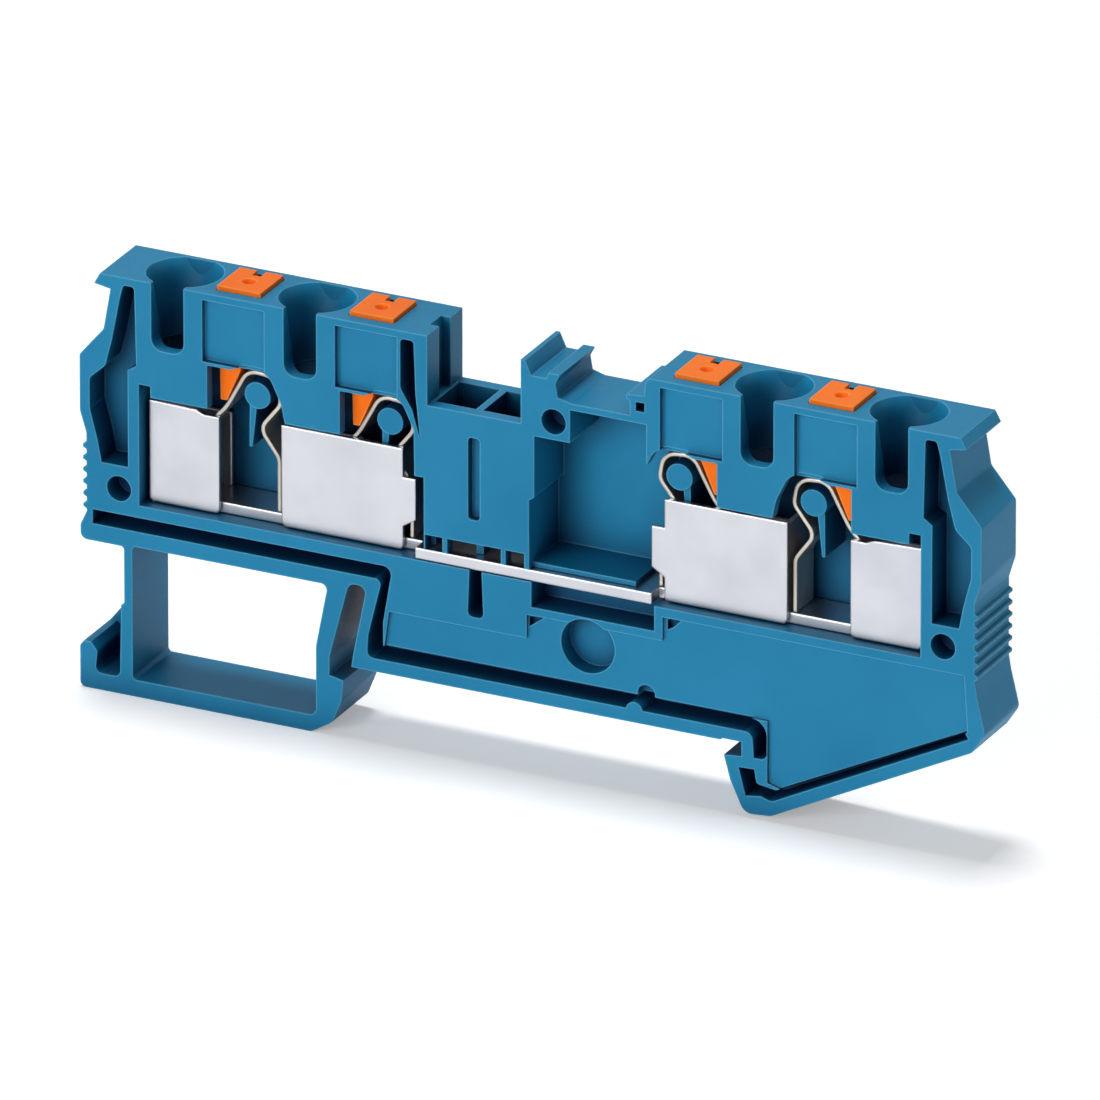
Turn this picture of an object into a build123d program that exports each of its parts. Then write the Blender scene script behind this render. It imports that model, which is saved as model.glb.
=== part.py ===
from build123d import *
import math
import os

os.makedirs("parts", exist_ok=True)

# Frame: X along the terminal, Y through its thickness (open side at -Y), Z up
# Origin: middle of the rail seat. Lengths in millimetres

# Rail that the foot is made for
RAIL_HALF = 17.5
RAIL_LIP = 1.0
RAIL_CLEAR = 0.15
EDGE_X = RAIL_HALF + RAIL_CLEAR
UNDER_Z = -RAIL_LIP - 0.05
HOOK_REACH = 1.5
NOSE_X = EDGE_X - HOOK_REACH

# Housing block
THICK = 6.2
Y_FRONT = -THICK / 2
Y_BACK = THICK / 2
BACK_WALL = 1.0
FRONT_WALL = 0.9
Y_FLOOR = Y_BACK - BACK_WALL
Y_SKIN = Y_FRONT + FRONT_WALL
X_MID = -0.6
Z_TOP = 29.0
Z_FOOT = -6.1
SHALLOW = 2.6
HALF_SIDE = 38.5
BULGE = 1.8
HALF_TOP = HALF_SIDE - BULGE
HALF_GRIP = HALF_SIDE - 0.55

# Latching foot on the left
SEAT_X = -NOSE_X + 0.4
FOOT_X = X_MID - HALF_SIDE - 0.1
FOOT_WALL = 1.4
FOOT_TOP = 6.4
FOOT_POST = 0.7
FOOT_POST_X = FOOT_X + 3.85
SEAT_WALL = 1.1
BUMP_X = 8.5
GROOVE_Z = 9.05

# Grip ribs on the two ends
RIB_COUNT = 6
RIB_PITCH = 1.0
RIB_Z = 9.3
RIB_OUT = 0.3

# Conductor funnels
MOUTH_X = 3.05
MOUTH_Y = 2.75
ENTRY_R = 2.1
ENTRY_Z = 25.0
SLOT_HALF = 1.4
SLOT_ROUND = 1.0
SLOT_Z = 23.4

# Metalwork window and chamber
WIN_Z = 10.1
PANEL_Z = 19.35
CHAMBER_Z = 22.9
TAB_Z = 17.1
GAP = 0.1

# Release button, positions from the conductor axis towards the middle
BTN_NEAR = MOUTH_X + 0.7
BTN_WIDE = 3.75
BTN_FAR = BTN_NEAR + BTN_WIDE
BTN_HALF_Y = 2.0
BTN_PROUD = 0.35
BTN_CLEAR = 0.1
BTN_PANEL = 0.5
BTN_TRAVEL = 1.5
BTN_NOTCH = 0.75
BTN_DIMPLE_R = 0.6
BTN_TIP_Z = 19.65
BTN_HEAD_Z = CHAMBER_Z + BTN_TRAVEL - 0.2

# Clamp spring strip
STRIP = 0.3
STRIP_Y0 = -1.6
STRIP_Y1 = 1.4
LOOP_R = 1.3
POST_R = 1.1
POST_U = BTN_NEAR + 3.4
POST_Z = 20.7
LEG_U = POST_U + 1.7
END_U = LEG_U + 0.95

# Clamp points, measured from the middle of the metalwork
CAGE_OUT = 2.1
LEG_CLEAR = 0.3
CLAMP_PITCH = LEG_U + STRIP / 2 + LEG_CLEAR + CAGE_OUT
OUTER = HALF_TOP - 5.8
INNER = OUTER - CLAMP_PITCH
COLUMNS = ((-1, OUTER, "outer_left"), (-1, INNER, "inner_left"),
           (1, INNER, "inner_right"), (1, OUTER, "outer_right"))

# Current bar
BAR_Z0 = WIN_Z + 0.05
BAR_T = 0.9
BAR_Z1 = BAR_Z0 + BAR_T
BAR_Y0 = -1.6
BAR_Y1 = Y_FLOOR - 0.2
BAR_MID_Y0 = Y_FRONT + GAP
BAR_HALF = OUTER + CAGE_OUT
BAR_MID = (X_MID - INNER + END_U, X_MID + INNER - END_U + 0.8)

# Clamp cages in folded sheet
SHEET = 0.4
CAGE_Y0 = BAR_Y0 - GAP - SHEET
CAGE_TOP = 18.7

# Bridge shafts beside the marker groove
SHAFT_X = (-9.0, -5.5, -4.9, -1.4)
NOTCH_X = (SHAFT_X[0] - 0.2, SHAFT_X[3] + 0.2)
NOTCH_Z = 23.2
RECESS_X = (SHAFT_X[3] + 0.9, 9.5)

# Joining studs and the holes that take the next terminal's studs
STUD_R = 0.95
STUD_LONG = 1.5
STUD_HOLE_R = 1.05
STUD_HOLE_DEEP = 2.0
STUD_AT = ((X_MID - HALF_TOP + 1.55, 11.2), (RECESS_X[0] + 2.1, 23.85),
           (X_MID + HALF_TOP - 1.4, 11.4))


def corner(before, here, after, radius):
    """Tangent points and middle of the rounding at one corner."""
    ax, az = before[0] - here[0], before[1] - here[1]
    bx, bz = after[0] - here[0], after[1] - here[1]
    la, lb = math.hypot(ax, az), math.hypot(bx, bz)
    ax, az, bx, bz = ax / la, az / la, bx / lb, bz / lb
    half = math.acos(max(-1.0, min(1.0, ax * bx + az * bz))) / 2
    reach = radius / math.tan(half)
    limit = 0.48 * min(la, lb)
    if reach > limit:
        radius *= limit / reach
        reach = limit
    cx, cz = ax + bx, az + bz
    lc = math.hypot(cx, cz)
    drop = radius / math.sin(half) - radius
    start = (here[0] + ax * reach, here[1] + az * reach)
    end = (here[0] + bx * reach, here[1] + bz * reach)
    mid = (here[0] + cx / lc * drop, here[1] + cz / lc * drop)
    return start, mid, end


def outline(points, y):
    """Closed face at y from (x, z) or (x, z, radius) corners."""
    def at(p):
        return Vector(p[0], y, p[1])
    edges = []
    marks = []
    count = len(points)
    for i, here in enumerate(points):
        radius = here[2] if len(here) > 2 else 0
        if radius > 0:
            start, mid, end = corner(points[i - 1], here, points[(i + 1) % count], radius)
            edges.append(Edge.make_three_point_arc(at(start), at(mid), at(end)))
            marks.append((start, end))
        else:
            marks.append((here, here))
    for i in range(count):
        a, b = marks[i][1], marks[(i + 1) % count][0]
        if math.hypot(a[0] - b[0], a[1] - b[1]) > 1e-6:
            edges.append(Edge.make_line(at(a), at(b)))
    return Face(Wire(edges))


def prism(points, y0, y1):
    """Solid between y0 and y1 on a closed outline."""
    return Solid.extrude(outline(points, y0), Vector(0, y1 - y0, 0))


def block(x0, x1, y0, y1, z0, z1):
    """Plain rectangular solid."""
    return prism([(x0, z0), (x1, z0), (x1, z1), (x0, z1)], y0, y1)


def rod_y(x, z, radius, y0, y1):
    """Round solid along Y."""
    return Solid.make_cylinder(radius, y1 - y0, Plane((x, y0, z), z_dir=(0, 1, 0)))


def strip_path(path, thick):
    """Outline of a bent strip of even thickness round a centre line."""
    side = ([], [])
    last = len(path) - 1
    for i, here in enumerate(path):
        before = path[max(i - 1, 0)]
        after = path[min(i + 1, last)]
        dirs = []
        for a, b in ((before, here), (here, after)):
            length = math.hypot(b[0] - a[0], b[1] - a[1])
            if length > 0:
                dirs.append(((b[0] - a[0]) / length, (b[1] - a[1]) / length))
        first, second = dirs[0], dirs[-1]
        nx, nz = -(first[1] + second[1]), first[0] + second[0]
        norm = math.hypot(nx, nz)
        nx, nz = nx / norm, nz / norm
        reach = thick / 2 / (-first[1] * nx + first[0] * nz)
        turn = first[0] * second[1] - first[1] * second[0]
        radius = here[2] if len(here) > 2 else 0
        for k, s in ((0, 1), (1, -1)):
            r = max(radius - math.copysign(thick / 2, turn * s), 0) if radius else 0
            side[k].append((here[0] + s * nx * reach, here[1] + s * nz * reach, r))
    return side[0] + side[1][::-1]


def clamp_x(side, column, u):
    """X of a point that lies u from the conductor axis towards the middle."""
    return X_MID + side * (column - u)


def in_clamp(side, column, points):
    """Clamp corners (u, z, radius) placed on their column."""
    return [(clamp_x(side, column, p[0]),) + tuple(p[1:]) for p in points]


def mirrored(points, side):
    """Corners given from the middle for the left end, put on either end."""
    return [(X_MID + side * p[0],) + tuple(p[1:]) for p in points]


def end_edge(side):
    """Lip, thumb bulge and grip ribs of one end, from the top down."""
    edge = [(HALF_TOP, Z_TOP), (HALF_TOP + 0.5, Z_TOP - 0.9), (HALF_TOP - 0.9, Z_TOP - 1.15),
            (HALF_TOP - 0.3, 24.4, 0.5), (HALF_SIDE, 21.9, 0.4), (HALF_SIDE, 17.2, 1.2),
            (HALF_GRIP, 15.4)]
    for i in reversed(range(RIB_COUNT)):
        z = RIB_Z + i * RIB_PITCH
        edge += [(HALF_GRIP, z + 0.3), (HALF_GRIP + RIB_OUT, z + 0.12),
                 (HALF_GRIP + RIB_OUT, z - 0.12), (HALF_GRIP, z - 0.3)]
    return mirrored(edge, side)


def body_outline():
    """Whole profile: ends, fixed hook, rail seat, flex slot and latching foot."""
    grip = X_MID + HALF_GRIP
    hook = [
        (grip + 0.25, 7.6, 0.5), (grip + 0.95, 4.7, 0.8), (grip - 0.15, 3.0, 0.5),
        (EDGE_X + 2.55, -5.6, 1.2), (EDGE_X + 0.25, -5.8, 1.0), (NOSE_X + 0.55, -3.2, 1.0),
        (NOSE_X, UNDER_Z - 0.15), (EDGE_X, UNDER_Z), (EDGE_X, RAIL_CLEAR),
        (NOSE_X - 0.1, RAIL_CLEAR), (NOSE_X - 0.3, 0)]
    foot = [
        (SEAT_X, 0), (SEAT_X + 0.15, 1.0, 1.0), (SEAT_X + 1.35, 7.0, 0.7),
        (SEAT_X - 0.2, 7.0, 0.7), (-EDGE_X, 0.5, 1.0), (-EDGE_X, UNDER_Z),
        (-NOSE_X - 0.3, UNDER_Z - 0.25), (-NOSE_X - 0.45, -3.0, 1.0),
        (-NOSE_X - 1.25, -5.0, 0.8), (-EDGE_X - 1.55, Z_FOOT, 0.9), (FOOT_X, Z_FOOT, 0.5),
        (FOOT_X, Z_FOOT + 3.5, 0.4), (FOOT_POST_X - 1.05, 0.9, 0.4), (FOOT_POST_X, 1.6, 0.3),
        (FOOT_POST_X, FOOT_TOP, 0.3), (FOOT_X + 0.1, FOOT_TOP, 0.8),
        (FOOT_X + 0.1, FOOT_TOP + 1.2, 0.4), (X_MID - HALF_GRIP, RIB_Z - 0.5)]
    return end_edge(1) + hook + foot + end_edge(-1)[::-1]


def funnel(side, column):
    """Flat-sided mouth that narrows to a round entry, with its slit in the open side."""
    x = clamp_x(side, column, 0)
    cone = Solid.make_cone(ENTRY_R, MOUTH_X, Z_TOP - ENTRY_Z, Plane((x, 0, ENTRY_Z)))
    mouth = cone.intersect(block(x - MOUTH_X, x + MOUTH_X, -MOUTH_Y, MOUTH_Y, ENTRY_Z, Z_TOP))
    entry = Solid.make_cylinder(ENTRY_R, ENTRY_Z - CHAMBER_Z + 0.3, Plane((x, 0, CHAMBER_Z - 0.3)))
    slit = prism([(x - SLOT_HALF, SLOT_Z, SLOT_ROUND), (x + SLOT_HALF, SLOT_Z, SLOT_ROUND),
                  (x + SLOT_HALF, Z_TOP + 1), (x - SLOT_HALF, Z_TOP + 1)], Y_FRONT - 1, 0)
    return [*mouth, entry, slit]


def button_shaft(side, column):
    """Guide bore of a release button and the thin panel in front of it."""
    a, b = sorted((clamp_x(side, column, BTN_NEAR), clamp_x(side, column, BTN_FAR)))
    reach = BTN_HALF_Y + BTN_CLEAR
    bore = block(a - BTN_CLEAR, b + BTN_CLEAR, -reach, reach, CHAMBER_Z - 0.2, Z_TOP + 1)
    panel = block(a - 0.75, b + 0.8, Y_FRONT - 1, Y_FRONT + BTN_PANEL, CHAMBER_Z + 0.35,
                  Z_TOP - 0.6)
    return [bore, panel]


def metal_window(side):
    """Open window in front of two clamps and the chamber behind its panels."""
    front = [(OUTER + 2.5, WIN_Z), (OUTER + 2.5, PANEL_Z + 0.95), (OUTER + 1.5, PANEL_Z + 0.95),
             (OUTER + 1.5, PANEL_Z)]
    for column in (OUTER, INNER):
        near = column - BTN_NEAR
        post = column - POST_U
        end = column - END_U
        front += [(near + 0.35, PANEL_Z), (near + 0.35, CHAMBER_Z + 0.1),
                  (near - 1.65, CHAMBER_Z + 0.1), (post + 0.85, CHAMBER_Z + 0.45, 0.6),
                  (post - 1.45, CHAMBER_Z + 0.45, 1.5), (end + 0.05, PANEL_Z + 1.6, 1.0)]
        if column == OUTER:
            front += [(end - 0.3, PANEL_Z)]
    front += [(end, TAB_Z), (end - 0.8, TAB_Z), (end - 0.8, WIN_Z)]
    rear = [(OUTER + 2.5, WIN_Z), (OUTER + 2.5, CHAMBER_Z), (end, CHAMBER_Z, 1.5),
            (end, TAB_Z), (end - 0.8, TAB_Z), (end - 0.8, WIN_Z)]
    cuts = [prism(mirrored(front, side), Y_FRONT - 1, Y_SKIN + 0.01),
            prism(mirrored(rear, side), Y_SKIN, Y_FLOOR)]
    return cuts


def end_pocket(side):
    """Hollow behind the lip and the thumb bulge."""
    top = HALF_TOP
    wall = HALF_SIDE - 0.85
    ring = [(top - 2.0, Z_TOP - 0.65, 0.3), (top - 2.95, Z_TOP - 0.65, 0.3), (top - 3.1, 21.8),
            (top - 2.35, 21.3), (top - 2.35, 13.15), (wall - 1.0, 13.15), (wall - 0.65, 15.0, 1.0),
            (wall, 17.5, 1.0), (wall, 20.1, 0.6), (wall - 1.35, 21.3, 1.0),
            (top - 1.0, 23.6, 1.0), (top - 1.7, 27.2, 0.8)]
    return prism(mirrored(ring, side), Y_FRONT - 1, Y_FRONT + SHALLOW)


def foot_cuts():
    """Through box of the latching foot and the pocket in its finger hook."""
    floor = Z_FOOT + FOOT_WALL
    roof = FOOT_TOP + 0.15
    left = FOOT_POST_X + FOOT_POST
    right = -EDGE_X - 1.15
    box = [(left, roof, 0.35), (right + 1.05, roof, 0.5), (right, 1.2, 2.0),
           (right, floor, 0.6), (left, floor, 0.35)]
    hook = [(FOOT_POST_X - 0.25, 2.2), (FOOT_POST_X - 0.4, floor, 0.5), (FOOT_X + 1.3, floor, 0.5),
            (FOOT_X + 1.5, floor + 1.8, 0.5), (FOOT_X + 0.9, floor + 2.5),
            (FOOT_X - 1, floor + 2.5), (FOOT_X - 1, 2.2)]
    return [prism(box, Y_FRONT - 1, Y_BACK + 1),
            prism(hook, Y_FRONT - 1, Y_FLOOR - 0.6)]


def rail_grooves():
    """Relief grooves that follow the foot, the rail seat and the fixed hook."""
    far = EDGE_X + 2.15
    end = X_MID - HALF_GRIP + 0.5
    grip = X_MID + HALF_GRIP
    seat = [(end, GROOVE_Z), (SEAT_X + 3.55, GROOVE_Z, 0.7), (SEAT_X + 2.75, 4.3, 1.0),
            (SEAT_X + 2.75, SEAT_WALL + 1.2), (far, SEAT_WALL + 1.2, 1.3), (far, -1.0, 0.5),
            (far - 1.1, -1.0), (far - 1.25, SEAT_WALL, 0.7), (SEAT_X + 1.35, SEAT_WALL, 0.5),
            (SEAT_X + 1.45, 3.0, 1.0), (SEAT_X + 2.65, GROOVE_Z - 1.2, 0.5), (end, GROOVE_Z - 1.2)]
    hook = [(EDGE_X - 0.25, -2.0), (EDGE_X + 1.1, -1.95), (EDGE_X + 1.3, -3.1, 0.3),
            (EDGE_X + 2.95, -3.35, 0.5), (grip - 0.75, 4.6), (grip - 0.45, 4.05),
            (EDGE_X + 2.55, -4.4, 0.6), (EDGE_X + 1.65, -4.1), (EDGE_X + 0.35, -4.3)]
    return [prism(seat, Y_FRONT - 1, Y_FRONT + SHALLOW),
            prism(hook, Y_FRONT - 1, Y_FRONT + SHALLOW)]


def bridge_cuts():
    """Two shafts down to the current bar, open in front above their panel."""
    a, b, c, d = SHAFT_X
    mid = (b + c) / 2
    y0 = Y_SKIN + 0.1
    cuts = [block(NOTCH_X[0], NOTCH_X[1], Y_FRONT - 1, Y_BACK + 1, NOTCH_Z, Z_TOP + 1),
            block(a, b, y0, Y_FLOOR, WIN_Z, NOTCH_Z + 1),
            block(c, d, y0, Y_FLOOR, WIN_Z, NOTCH_Z + 1),
            block(NOTCH_X[0] - 0.8, NOTCH_X[0] + 0.1, -1.0, 1.0, NOTCH_Z, Z_TOP + 1)]
    for x0, x1 in ((a - 0.4, a + 1.1), (a + 1.5, d - 1.5), (d - 1.1, d + 0.5)):
        cuts.append(block(x0, x1, Y_FRONT - 1, y0 + 0.1, BAR_Z1 + 0.05, 12.35))
    cuts.append(prism([(mid - 0.5, 14.35, 0.3), (mid + 0.5, 14.35, 0.3), (mid + 0.5, 21.2, 0.3),
                       (mid - 0.5, 21.2, 0.3)], Y_FRONT - 1, Y_FRONT + 0.7))
    cuts.append(prism([(mid - 0.55, 6.2, 0.4), (mid + 0.8, 6.2, 0.4), (mid + 0.65, WIN_Z),
                       (mid - 0.4, WIN_Z)], Y_FRONT - 1, Y_FRONT + SHALLOW))
    cuts.append(prism([(a - 2.5, Z_TOP - 0.65, 0.3), (a - 1.35, Z_TOP - 0.65, 0.3),
                       (a - 1.2, NOTCH_Z + 0.8), (a - 0.8, 20.25), (a - 1.5, 22.6, 0.6),
                       (a - 2.5, 24.2, 0.5)], Y_FRONT - 1, Y_FRONT + SHALLOW))
    return cuts


def marker_groove():
    """Groove for a marker strip, with its rib, floor and snap lip."""
    left, right = RECESS_X
    rib = left + 1.5
    top = Z_TOP
    floor = Z_TOP - 3.35
    ring = [(left - 0.35, top + 1), (left - 0.35, top - 0.45), (left + 0.2, top - 1.65),
            (rib, top - 1.65), (rib + 0.15, top - 1.15), (rib + 1.15, top - 1.15),
            (rib + 0.75, top - 1.9), (rib + 0.95, floor + 0.3), (rib + 2.0, floor),
            (right - 1.4, floor), (right - 1.4, top - 2.15), (right - 1.7, top - 2.0),
            (right - 1.7, top - 1.65), (right - 0.2, top - 1.55), (right - 0.1, top - 0.4),
            (right + 0.25, top), (right + 0.25, top + 1)]
    rim = block(NOTCH_X[1] - 0.1, left - 0.3, Y_FRONT - 1, Y_BACK + 1, top - 0.45, top + 1)
    hole = block(right - 0.9, right - 0.15, Y_FRONT - 1, Y_FRONT + 1.5, top - 2.9, top - 2.15)
    return [prism(ring, Y_FRONT - 1, Y_BACK + 1), rim, hole]


def recess_cuts():
    """Deep recess beside the shafts, the pocket under the bar and the seat of the bar."""
    left, right = RECESS_X
    deep = [(left, BAR_Z1 + 0.45), (left, TAB_Z - 0.2), (left + 0.45, TAB_Z + 0.1), (left + 0.45, 22.35),
            (left + 3.5, 22.35), (left + 3.5, Z_TOP - 3.9), (right, Z_TOP - 3.9),
            (right, TAB_Z + 0.3), (right - 0.35, TAB_Z), (right - 0.35, BAR_Z1 + 0.45)]
    lip = block(left, right - 0.35, Y_FRONT - 1, Y_FRONT + 0.7, WIN_Z, BAR_Z1 + 0.5)
    under = block(left + 0.2, right + 0.7, Y_FRONT - 1, Y_FRONT + SHALLOW, 8.0, WIN_Z + 0.01)
    seat = block(BAR_MID[0] - 1.7, BAR_MID[1] + 1.1, BAR_MID_Y0 - 1, Y_FLOOR, WIN_Z,
                 BAR_Z1 + 0.05)
    return [prism(deep, Y_FRONT - 1, Y_FLOOR), lip, under, seat]


def panel_marks():
    """Sunk lower panel, its round dimple, the seat bump and small moulding notches."""
    sunk = 0.3
    step = RECESS_X[0] - 0.2
    right = BAR_MID[1] + 1.0
    hook = EDGE_X + 2.2
    grip = X_MID + HALF_GRIP
    low = SEAT_WALL + 1.2
    high = WIN_Z - 0.8
    panel = [(SEAT_X + 2.85, low), (hook, low), (hook, -2.9), (hook + 1.15, -3.2),
             (grip - 0.55, 4.6), (grip - 0.85, high), (right, high), (right, 7.3), (step, 7.3),
             (step, 5.3), (SEAT_X + 3.25, 5.3)]
    notches = [[(right + 0.3, high - 1.1), (right + 0.3, high - 0.2), (right + 1.6, high),
                (right + 0.8, high - 0.8)],
               [(step + 0.1, 6.2), (step + 0.1, 7.1), (step + 1.4, 7.2), (step + 0.6, 6.6)]]
    marks = [prism(panel, Y_FRONT - 1, Y_FRONT + sunk),
             rod_y(4.4, 5.55, 2.3, Y_FRONT - 1, Y_FRONT + 1.9),
             rod_y(BUMP_X + 0.9, SEAT_WALL + 1.35, 0.75, Y_FRONT - 1, Y_FRONT + 1.2)]
    for notch in notches:
        marks.append(prism(notch, Y_FRONT - 1, Y_FRONT + sunk + 0.6))
    return marks


def housing():
    """One-piece moulded body, open towards -Y."""
    body = prism(body_outline(), Y_FRONT, Y_BACK)
    cuts = []
    for side, column, _ in COLUMNS:
        cuts += funnel(side, column)
        cuts += button_shaft(side, column)
    for side in (-1, 1):
        cuts += metal_window(side)
        cuts.append(end_pocket(side))
    cuts += foot_cuts() + rail_grooves() + bridge_cuts() + marker_groove()
    cuts += recess_cuts() + panel_marks()
    for x, z in STUD_AT:
        cuts.append(rod_y(x, z, STUD_HOLE_R, Y_FRONT - 1, Y_FRONT + STUD_HOLE_DEEP))
    body = body.cut(*cuts)
    adds = [rod_y(x, z, STUD_R, Y_FLOOR, Y_BACK + STUD_LONG) for x, z in STUD_AT]
    adds.append(rod_y(BUMP_X, 1.0, 0.7, Y_FRONT, Y_FRONT + SHALLOW + 0.1))
    for side, column, _ in COLUMNS:
        x = clamp_x(side, column, POST_U)
        low = POST_Z - 4.5
        tail = in_clamp(side, column, [(POST_U - 0.85, low), (POST_U - 0.6, low),
                                       (POST_U - 0.1, POST_Z), (POST_U - 0.8, POST_Z)])
        adds.append(rod_y(x, POST_Z, POST_R, STRIP_Y0 - 0.3, Y_FLOOR + 0.1))
        adds.append(prism(tail, STRIP_Y0, Y_FLOOR + 0.1))
    return body.fuse(*adds).clean()


def current_bar():
    """Flat conductor strip, wider in the middle, slotted under the bridge shafts."""
    a, b = BAR_MID
    strip = block(X_MID - BAR_HALF, X_MID + BAR_HALF, BAR_Y0, BAR_Y1, BAR_Z0, BAR_Z1)
    middle = block(a, b, BAR_MID_Y0, BAR_Y0 + 0.1, BAR_Z0, BAR_Z1)
    bar = strip.fuse(middle)
    slots = []
    for x0, x1 in (SHAFT_X[:2], SHAFT_X[2:]):
        mid = (x0 + x1) / 2
        slots.append(block(mid - 1.3, mid + 1.3, -0.5, 0.5, BAR_Z0 - 1, BAR_Z1 + 1))
    return bar.cut(*slots)


def cage(side, column, reach):
    """Folded sheet round one clamp: front plate, back plate and contact wall."""
    y_back = BAR_Y1
    lift = BAR_Z1 + 0.05
    plate = [(-CAGE_OUT, BAR_Z0 + 0.1, 0.4), (-CAGE_OUT, CAGE_TOP)]
    if column == OUTER:
        plate += [(reach - 2.0, CAGE_TOP - 0.1), (reach - 1.3, CAGE_TOP - 0.4),
                  (reach, CAGE_TOP - 0.4), (reach, BAR_Z0 + 0.1, 0.3)]
    else:
        plate += [(reach, CAGE_TOP), (reach, TAB_Z - 0.8), (reach + 1.1, TAB_Z - 0.8),
                  (reach + 1.1, 12.9), (reach, 12.2), (reach, BAR_Z0 + 0.1, 0.3)]
    front = prism(in_clamp(side, column, plate), CAGE_Y0, CAGE_Y0 + SHEET)
    a, b = sorted((clamp_x(side, column, -CAGE_OUT), clamp_x(side, column, -CAGE_OUT + SHEET)))
    wall = block(a, b, CAGE_Y0, y_back, lift, CAGE_TOP - 0.2)
    a, b = sorted((clamp_x(side, column, -CAGE_OUT), clamp_x(side, column, 3.2)))
    back = block(a, b, y_back - SHEET, y_back, lift, CAGE_TOP - 1.5)
    return front.fuse(wall, back).clean()


def clamp_spring(side, column):
    """Bent leaf: clamping leg, loop round the post and the waved fixed leg."""
    path = [(1.1, 15.6), (BTN_NEAR + 0.55, BTN_TIP_Z - 0.55, 4.0),
            (POST_U - 1.0, POST_Z + 1.8, LOOP_R), (POST_U + 1.5, POST_Z + 1.6, LOOP_R),
            (POST_U + 1.85, POST_Z - 0.55, 1.0), (POST_U + 0.05, POST_Z - 2.85, 1.0),
            (LEG_U, POST_Z - 5.1, 1.2), (LEG_U, BAR_Z1 + 0.1)]
    return prism(strip_path(in_clamp(side, column, path), STRIP), STRIP_Y0, STRIP_Y1)


def button(side, column):
    """Release button: guided head with its tool notch and a wedge-shaped leg."""
    near, far = BTN_NEAR, BTN_FAR
    top = Z_TOP + BTN_PROUD
    head = [(near, BTN_HEAD_Z - 0.4), (near, top), (far, top),
            (far, BTN_HEAD_Z + 0.4), (near + 1.9, BTN_HEAD_Z)]
    leg = [(near, BTN_HEAD_Z + 1), (near, 22.0), (near + 0.05, BTN_TIP_Z),
           (near + 0.6, BTN_TIP_Z), (near + 1.75, 22.3, 1.0), (near + 1.85, BTN_HEAD_Z + 1)]
    body = prism(in_clamp(side, column, head), -BTN_HALF_Y, BTN_HALF_Y)
    body = body.fuse(prism(in_clamp(side, column, leg), STRIP_Y0 + 0.05, STRIP_Y1 - 0.05))
    mid = clamp_x(side, column, (near + far) / 2)
    notch = block(mid - BTN_NOTCH / 2, mid + BTN_NOTCH / 2, BTN_HALF_Y - 1.0, BTN_HALF_Y + 1,
                  top - 1.2, top + 1)
    dimple = Solid.make_cone(BTN_DIMPLE_R - 0.25, BTN_DIMPLE_R, 0.5, Plane((mid, -0.2, top - 0.5)))
    return body.cut(notch, dimple).clean()


NODES = {"housing": housing(), "current_bar": current_bar()}
for side, column, name in COLUMNS:
    reach = BTN_NEAR + 0.15 if column == OUTER else LEG_U - 0.55
    NODES["clamp_cage_" + name] = cage(side, column, reach)
    NODES["clamp_spring_" + name] = clamp_spring(side, column)
    NODES["release_button_" + name] = button(side, column)

for name, shape in NODES.items():
    shape.label = name
    export_step(shape, os.path.join("parts", name + ".step"))
    print(name, len(shape.solids()), round(shape.volume, 2))
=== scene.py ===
import math
import bpy
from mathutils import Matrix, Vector

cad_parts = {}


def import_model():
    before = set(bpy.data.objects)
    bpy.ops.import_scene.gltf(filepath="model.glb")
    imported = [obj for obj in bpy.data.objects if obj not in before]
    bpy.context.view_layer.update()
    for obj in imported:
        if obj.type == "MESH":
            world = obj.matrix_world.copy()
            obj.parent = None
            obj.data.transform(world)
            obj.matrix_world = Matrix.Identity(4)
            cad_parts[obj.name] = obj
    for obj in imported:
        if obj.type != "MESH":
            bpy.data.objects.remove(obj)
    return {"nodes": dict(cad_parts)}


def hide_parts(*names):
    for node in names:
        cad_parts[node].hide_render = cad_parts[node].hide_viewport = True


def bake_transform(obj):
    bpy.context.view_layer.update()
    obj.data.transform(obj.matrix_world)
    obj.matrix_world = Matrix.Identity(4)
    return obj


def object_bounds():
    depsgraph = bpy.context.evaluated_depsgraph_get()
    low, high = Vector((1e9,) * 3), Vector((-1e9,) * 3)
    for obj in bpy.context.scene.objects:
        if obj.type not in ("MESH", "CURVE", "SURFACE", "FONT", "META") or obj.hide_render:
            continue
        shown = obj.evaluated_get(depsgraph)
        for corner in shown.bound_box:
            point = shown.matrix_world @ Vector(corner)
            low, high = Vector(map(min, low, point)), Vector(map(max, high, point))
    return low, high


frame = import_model()
CAD_BOX = [list(map(float, p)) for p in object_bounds()]
NODES = frame["nodes"]
MM = 0.001

# Rounded edges: in the shading of every finish, and smaller ones in the mesh
EDGE_SHADED = 0.2 * MM
EDGE_MOULDED = 0.1 * MM
EDGE_SHEET = 0.05 * MM
EDGE_STRIP = 0.03 * MM
EDGE_ANGLE = math.radians(28)
WELD = 0.002 * MM

# Painted shade in hollows: openness at which it is full, and at which it is gone
HOLLOW_SHADE_FULL = 0.18
HOLLOW_SHADE_NONE = 0.74

# Painted highlight along edges: agreement of rounded and flat normal at which it starts, and at
# which it is full
EDGE_HIGHLIGHT_NONE = 0.99
EDGE_HIGHLIGHT_FULL = 0.87

# Sockets of a colour mix node
MIX_FACTOR, MIX_FIRST, MIX_SECOND, MIX_RESULT = 0, 6, 7, 2
NOISE_ROUGHNESS = 0.55


# Node helpers
def new_material(name):
    """Material's node tree and shader, with the material itself first."""
    mat = bpy.data.materials.new(name)
    mat.use_nodes = True
    tree = mat.node_tree
    return mat, tree, tree.nodes["Principled BSDF"]


def node(tree, kind, **values):
    """New node with its properties set."""
    n = tree.nodes.new(kind)
    for key, value in values.items():
        setattr(n, key, value)
    return n


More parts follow.
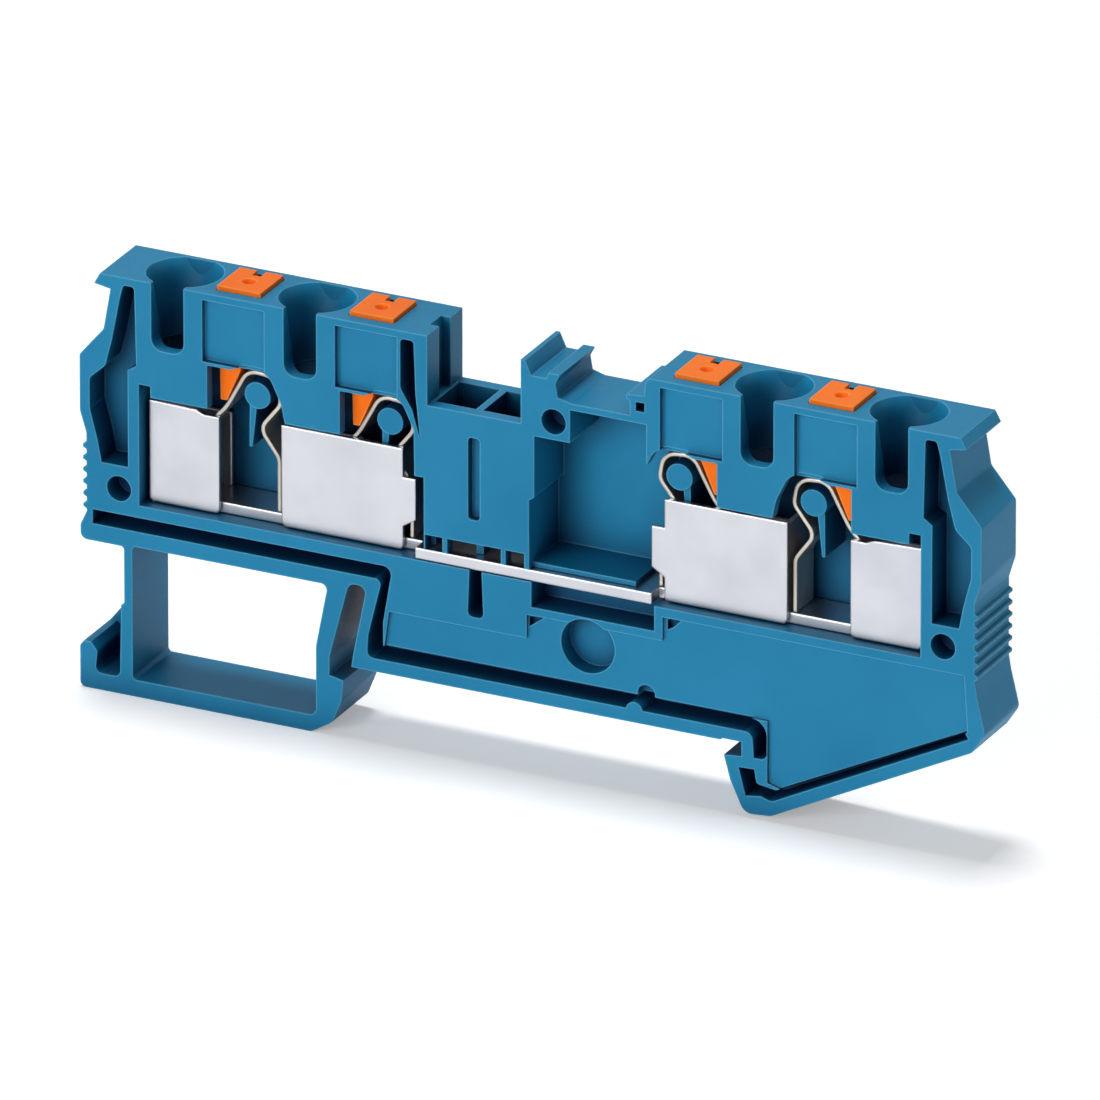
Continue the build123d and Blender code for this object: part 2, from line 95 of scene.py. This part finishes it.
def noise(tree, coord, scale, detail):
    """Noise between 0 and 1."""
    n = node(tree, "ShaderNodeTexNoise")
    n.inputs["Scale"].default_value = scale
    n.inputs["Detail"].default_value = detail
    n.inputs["Roughness"].default_value = NOISE_ROUGHNESS
    tree.links.new(coord, n.inputs["Vector"])
    return n.outputs["Fac"]


def ramp(tree, fac, low, high, start=0.35, end=0.65):
    """Colour that runs from low at start to high at end."""
    n = node(tree, "ShaderNodeValToRGB")
    n.color_ramp.elements[0].position = start
    n.color_ramp.elements[0].color = (*low, 1)
    n.color_ramp.elements[1].position = end
    n.color_ramp.elements[1].color = (*high, 1)
    tree.links.new(fac, n.inputs["Fac"])
    return n.outputs["Color"]


def spread(tree, value, low, high, start=0.0, end=1.0):
    """Value that runs from low at start to high at end."""
    n = node(tree, "ShaderNodeMapRange")
    n.inputs["From Min"].default_value = start
    n.inputs["From Max"].default_value = end
    n.inputs["To Min"].default_value = low
    n.inputs["To Max"].default_value = high
    tree.links.new(value, n.inputs["Value"])
    return n.outputs["Result"]


def blend_colour(tree, first, second, kind="MIX", factor=1.0):
    """Mix of two colours. Either colour and the factor may be a socket."""
    mix = node(tree, "ShaderNodeMix", data_type="RGBA", blend_type=kind)
    for value, place in ((factor, MIX_FACTOR), (first, MIX_FIRST), (second, MIX_SECOND)):
        if isinstance(value, bpy.types.NodeSocket):
            tree.links.new(value, mix.inputs[place])
        else:
            mix.inputs[place].default_value = value
    return mix.outputs[MIX_RESULT]


def seen_or_mirrored(tree):
    """1 for rays from the camera or from a glossy surface, else 0."""
    path = node(tree, "ShaderNodeLightPath")
    either = node(tree, "ShaderNodeMath", operation="MAXIMUM")
    tree.links.new(path.outputs["Is Camera Ray"], either.inputs[0])
    tree.links.new(path.outputs["Is Glossy Ray"], either.inputs[1])
    return either.outputs[0]


# Finishes
def painted_hollow_shade(tree, colour, reach, shade_colour):
    """Colour with painted shade that deepens inside narrow hollows."""
    shade = node(tree, "ShaderNodeAmbientOcclusion", samples=8)
    shade.inputs["Distance"].default_value = reach
    level = ramp(tree, shade.outputs["AO"], shade_colour, (1, 1, 1), HOLLOW_SHADE_FULL, HOLLOW_SHADE_NONE)
    return blend_colour(tree, colour, level, "MULTIPLY")


def painted_edge_highlight(tree, colour, soft_normal, highlight_colour):
    """Colour with a painted highlight that turns it paler along the edges."""
    flat_normal = node(tree, "ShaderNodeNewGeometry").outputs["Normal"]
    turn = node(tree, "ShaderNodeVectorMath", operation="DOT_PRODUCT")
    tree.links.new(soft_normal, turn.inputs[0])
    tree.links.new(flat_normal, turn.inputs[1])
    level = spread(tree, turn.outputs["Value"], 0.0, 1.0, EDGE_HIGHLIGHT_NONE, EDGE_HIGHLIGHT_FULL)
    return blend_colour(tree, colour, (*highlight_colour, 1), "MIX", level)


def surface(name, low, high, rough, grain, relief, blotch, metallic=0.0, gloss=0.5,
            stretch=(1, 1, 1), hollow_shade=None, edge_highlight=None):
    """Procedural finish: blotchy colour, uneven gloss and a fine grain.

    Low and high are the colour's two ends, rough the roughness's two ends. Relief is the grain's
    strength and height, hollow_shade a reach and the colour of the painted shade in hollows, and
    edge_highlight the colour of the painted highlight along edges.
    """
    mat, tree, shader = new_material(name)
    coord = node(tree, "ShaderNodeTexCoord").outputs["Object"]
    mapping = node(tree, "ShaderNodeMapping")
    mapping.inputs["Scale"].default_value = stretch
    tree.links.new(coord, mapping.inputs["Vector"])
    wide = noise(tree, coord, blotch, detail=3.0)
    fine = noise(tree, mapping.outputs["Vector"], grain, detail=5.0)
    colour = ramp(tree, wide, low, high)
    edge = node(tree, "ShaderNodeBevel", samples=6)
    edge.inputs["Radius"].default_value = EDGE_SHADED
    if edge_highlight:
        colour = painted_edge_highlight(tree, colour, edge.outputs["Normal"], edge_highlight)
    if hollow_shade:
        colour = painted_hollow_shade(tree, colour, *hollow_shade)
    tree.links.new(colour, shader.inputs["Base Color"])
    tree.links.new(spread(tree, fine, *rough), shader.inputs["Roughness"])
    strength, height = relief
    bump = node(tree, "ShaderNodeBump")
    bump.inputs["Strength"].default_value = strength
    bump.inputs["Distance"].default_value = height
    tree.links.new(edge.outputs["Normal"], bump.inputs["Normal"])
    tree.links.new(fine, bump.inputs["Height"])
    tree.links.new(bump.outputs["Normal"], shader.inputs["Normal"])
    shader.inputs["Metallic"].default_value = metallic
    shader.inputs["Specular IOR Level"].default_value = gloss
    return mat


def moulded_blue():
    """Plastic of the housing."""
    # Painted shade in hollows and a painted highlight along edges
    return surface("housing_blue", (0.005, 0.175, 0.335), (0.009, 0.2, 0.375), rough=(0.42, 0.56),
                   grain=2600.0, relief=(0.12, 0.04 * MM), blotch=90.0, gloss=0.18,
                   hollow_shade=(6 * MM, (0.01, 0.09, 0.19)), edge_highlight=(0.1, 0.42, 0.66))


def moulded_orange():
    """Plastic of the buttons."""
    # Painted highlight along edges
    return surface("button_orange", (0.88, 0.15, 0.003), (0.96, 0.185, 0.008), rough=(0.36, 0.5),
                   grain=2600.0, relief=(0.12, 0.04 * MM), blotch=90.0, gloss=0.12,
                   edge_highlight=(1.0, 0.36, 0.1))


def tinned_sheet():
    """Metal of the cages and the current bar."""
    return surface("tinned_sheet", (0.485, 0.497, 0.535), (0.55, 0.562, 0.598), rough=(0.26, 0.38),
                   grain=700.0, relief=(0.12, 0.03 * MM), blotch=160.0, metallic=1.0,
                   stretch=(1, 1, 6))


def spring_strip():
    """Metal of the springs."""
    return surface("spring_strip", (0.42, 0.39, 0.34), (0.56, 0.53, 0.47), rough=(0.28, 0.42),
                   grain=900.0, relief=(0.2, 0.04 * MM), blotch=200.0, metallic=0.85,
                   stretch=(1, 8, 1))


# Solids of the part
def set_material(obj, mat):
    """One material on the whole object."""
    obj.data.materials.clear()
    obj.data.materials.append(mat)


def soften(obj, width):
    """Small rounded edges on a moulded or blanked piece."""
    weld = obj.modifiers.new("weld", "WELD")
    weld.merge_threshold = WELD
    bevel = obj.modifiers.new("edge", "BEVEL")
    bevel.width = width
    bevel.segments = 2
    bevel.limit_method = "ANGLE"
    bevel.angle_limit = EDGE_ANGLE
    bevel.use_clamp_overlap = True


def dress_solids():
    """Finish of every solid, and its edges unless a copy of it replaces it."""
    blue = moulded_blue()
    orange = moulded_orange()
    tin = tinned_sheet()
    bronze = spring_strip()
    for name, obj in NODES.items():
        if name == "housing":
            set_material(obj, blue)
            soften(obj, EDGE_MOULDED)
        elif "button" in name:
            set_material(obj, orange)
            soften(obj, EDGE_MOULDED)
        elif "spring" in name:
            set_material(obj, bronze)
        else:
            set_material(obj, tin)
            soften(obj, EDGE_SHEET)


# Springs: each clamp spring is swapped for a copy with softened edges
SPRINGS = ((-1, "outer_left"), (-1, "inner_left"), (1, "inner_right"), (1, "outer_right"))


def bending_spring(name):
    """Copy of a clamp spring, with softened edges, that takes its place."""
    source = NODES["clamp_spring_" + name]
    piece = bpy.data.objects.new("spring_" + name, source.data.copy())
    bpy.context.scene.collection.objects.link(piece)
    soften(piece, EDGE_STRIP)
    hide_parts("clamp_spring_" + name)
    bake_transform(piece)


# Floor, white where the camera or a glossy surface sees it
FLOOR_REACH = 3.0
FLOOR_Z = CAD_BOX[0][2]
FLOOR_COLOUR = (0.93, 0.93, 0.93, 1)
FLOOR_GLOW = 0.3


def floor():
    """Plain floor at the part's lowest point."""
    mesh = bpy.data.meshes.new("floor")
    r = FLOOR_REACH
    corners = [(-r, -r, FLOOR_Z), (r, -r, FLOOR_Z), (r, r, FLOOR_Z), (-r, r, FLOOR_Z)]
    mesh.from_pydata(corners, [], [(0, 1, 2, 3)])
    obj = bpy.data.objects.new("floor", mesh)
    bpy.context.scene.collection.objects.link(obj)
    mat, tree, shader = new_material("floor_white")
    shader.inputs["Base Color"].default_value = FLOOR_COLOUR
    shader.inputs["Roughness"].default_value = 0.8
    shader.inputs["Specular IOR Level"].default_value = 0.2
    shader.inputs["Emission Color"].default_value = (1, 1, 1, 1)
    glow = node(tree, "ShaderNodeMath", operation="MULTIPLY")
    glow.inputs[1].default_value = FLOOR_GLOW
    tree.links.new(seen_or_mirrored(tree), glow.inputs[0])
    tree.links.new(glow.outputs[0], shader.inputs["Emission Strength"])
    mesh.materials.append(mat)


# Light
FILL_COLOUR = (0.96, 0.98, 1.0, 1)
FILL_STRENGTH = 0.12
LAMP_AIM = (0, 0, 12 * MM)


def background(tree, colour, strength):
    """World light of one colour."""
    n = node(tree, "ShaderNodeBackground")
    n.inputs["Color"].default_value = colour
    n.inputs["Strength"].default_value = strength
    return n.outputs[0]


def world():
    """Faint fill light, and white where the camera or a glossy surface sees it."""
    w = bpy.data.worlds.new("studio")
    bpy.context.scene.world = w
    w.use_nodes = True
    tree = w.node_tree
    tree.nodes.clear()
    mix = node(tree, "ShaderNodeMixShader")
    out = node(tree, "ShaderNodeOutputWorld")
    tree.links.new(seen_or_mirrored(tree), mix.inputs[0])
    tree.links.new(background(tree, FILL_COLOUR, FILL_STRENGTH), mix.inputs[1])
    tree.links.new(background(tree, (1, 1, 1, 1), 1.0), mix.inputs[2])
    tree.links.new(mix.outputs[0], out.inputs["Surface"])


def lamp(name, place, size, power):
    """Round soft light aimed at the part, its size in metres and its power in watts."""
    data = bpy.data.lights.new(name, "AREA")
    data.shape = "DISK"
    data.size = size
    data.energy = power
    obj = bpy.data.objects.new(name, data)
    obj.location = place
    way = Vector(LAMP_AIM) - Vector(place)
    obj.rotation_euler = way.to_track_quat("-Z", "Y").to_euler()
    bpy.context.scene.collection.objects.link(obj)


# Camera at the photograph's angle, a long lens over a square image
AZIMUTH = math.radians(26.0)
ELEVATION = math.radians(23.5)
DISTANCE = 2.5
TARGET = Vector((-0.4, 0.4, 11.4)) * MM
PX_PER_MM = 13.0
IMAGE_PX = 1100.0
SENSOR = 36.0
CLIP_START = 0.01
CLIP_END = 20.0


def camera():
    """The scene's camera, at a distance from its target."""
    data = bpy.data.cameras.new("camera")
    data.sensor_width = SENSOR
    data.lens = PX_PER_MM * DISTANCE / MM * SENSOR / IMAGE_PX
    data.clip_start = CLIP_START
    data.clip_end = CLIP_END
    obj = bpy.data.objects.new("camera", data)
    bpy.context.scene.collection.objects.link(obj)
    run = math.cos(ELEVATION)
    away = Vector((math.sin(AZIMUTH) * run, -math.cos(AZIMUTH) * run, math.sin(ELEVATION)))
    obj.location = TARGET + away * DISTANCE
    obj.rotation_euler = (-away).to_track_quat("-Z", "Y").to_euler()
    bpy.context.scene.camera = obj


dress_solids()
for side, name in SPRINGS:
    bending_spring(name)
floor()
world()
lamp("key", place=(-0.3, -1.1, 0.3), size=0.8, power=10.0)
lamp("top", place=(-0.1, 0.1, 1.1), size=0.35, power=7.5)
lamp("side", place=(1.0, 0.2, 0.25), size=0.4, power=1.25)
camera()
bpy.context.scene.view_settings.view_transform = "Standard"
